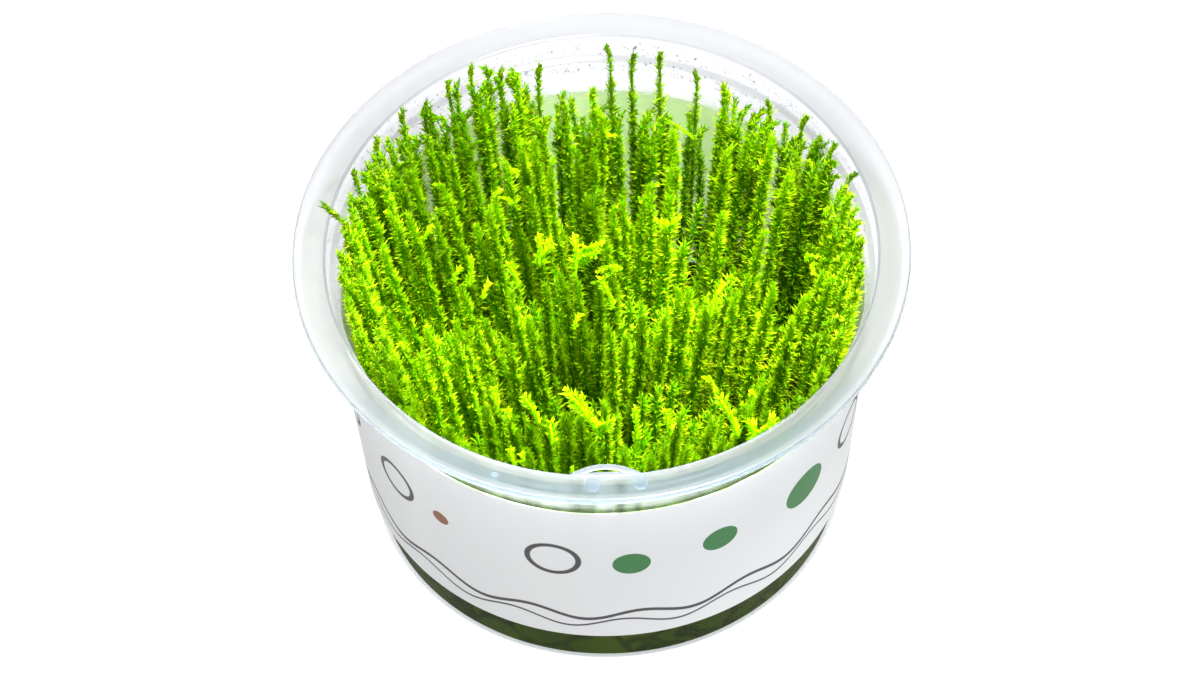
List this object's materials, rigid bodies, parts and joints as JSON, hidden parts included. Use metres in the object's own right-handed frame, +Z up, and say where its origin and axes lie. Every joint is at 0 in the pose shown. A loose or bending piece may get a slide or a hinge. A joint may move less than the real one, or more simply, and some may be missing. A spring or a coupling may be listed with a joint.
{
  "type": "tissue culture spiky moss",
  "caption": "Dense upright spiky moss growing from gel in a clear plastic tissue culture cup with a wide flat rim and a plain wrapped label.",
  "frame": {"origin": "centre of the cup's underside, where it rests", "axes": "+Z up along the cup's axis, -Y towards the front, where the rim has its small lip"},
  "size_m": [0.095, 0.095, 0.0598],
  "materials": {
    "clear_plastic": "clear, slightly milky moulded plastic",
    "label_film": "white printed film, satin",
    "growth_gel": "olive see-through jelly",
    "moss_leaf": "small moist leaves, soft sheen"
  },
  "bodies": {
    "root": {"cup": "clear_plastic", "label": "label_film", "growth_gel": "growth_gel", "moss_tuft_01": "moss_leaf", "moss_tuft_02": "moss_leaf", "moss_tuft_03": "moss_leaf", "moss_tuft_04": "moss_leaf", "moss_tuft_05": "moss_leaf", "moss_tuft_06": "moss_leaf", "moss_tuft_07": "moss_leaf", "moss_tuft_08": "moss_leaf", "moss_tuft_09": "moss_leaf", "moss_tuft_10": "moss_leaf", "moss_tuft_11": "moss_leaf", "moss_tuft_12": "moss_leaf", "moss_tuft_13": "moss_leaf", "moss_tuft_14": "moss_leaf", "moss_tuft_15": "moss_leaf", "moss_tuft_16": "moss_leaf", "moss_tuft_17": "moss_leaf", "moss_tuft_18": "moss_leaf", "moss_tuft_19": "moss_leaf", "moss_tuft_20": "moss_leaf", "moss_tuft_21": "moss_leaf", "moss_tuft_22": "moss_leaf", "moss_tuft_23": "moss_leaf", "moss_tuft_24": "moss_leaf", "moss_tuft_25": "moss_leaf", "moss_tuft_26": "moss_leaf", "moss_tuft_27": "moss_leaf", "moss_tuft_28": "moss_leaf", "moss_tuft_29": "moss_leaf", "moss_tuft_30": "moss_leaf", "moss_tuft_31": "moss_leaf", "moss_tuft_32": "moss_leaf", "moss_tuft_33": "moss_leaf", "moss_tuft_34": "moss_leaf", "moss_tuft_35": "moss_leaf", "moss_tuft_36": "moss_leaf", "moss_tuft_37": "moss_leaf", "moss_shoot_01": "moss_leaf", "moss_shoot_02": "moss_leaf", "moss_shoot_03": "moss_leaf", "moss_shoot_04": "moss_leaf", "moss_shoot_05": "moss_leaf", "moss_shoot_06": "moss_leaf", "moss_shoot_07": "moss_leaf", "moss_shoot_08": "moss_leaf", "moss_shoot_09": "moss_leaf", "moss_shoot_10": "moss_leaf", "moss_shoot_11": "moss_leaf", "moss_shoot_12": "moss_leaf", "moss_shoot_13": "moss_leaf", "moss_shoot_14": "moss_leaf", "moss_shoot_15": "moss_leaf", "moss_shoot_16": "moss_leaf", "moss_shoot_17": "moss_leaf", "moss_shoot_18": "moss_leaf"}
  },
  "joints": []
}
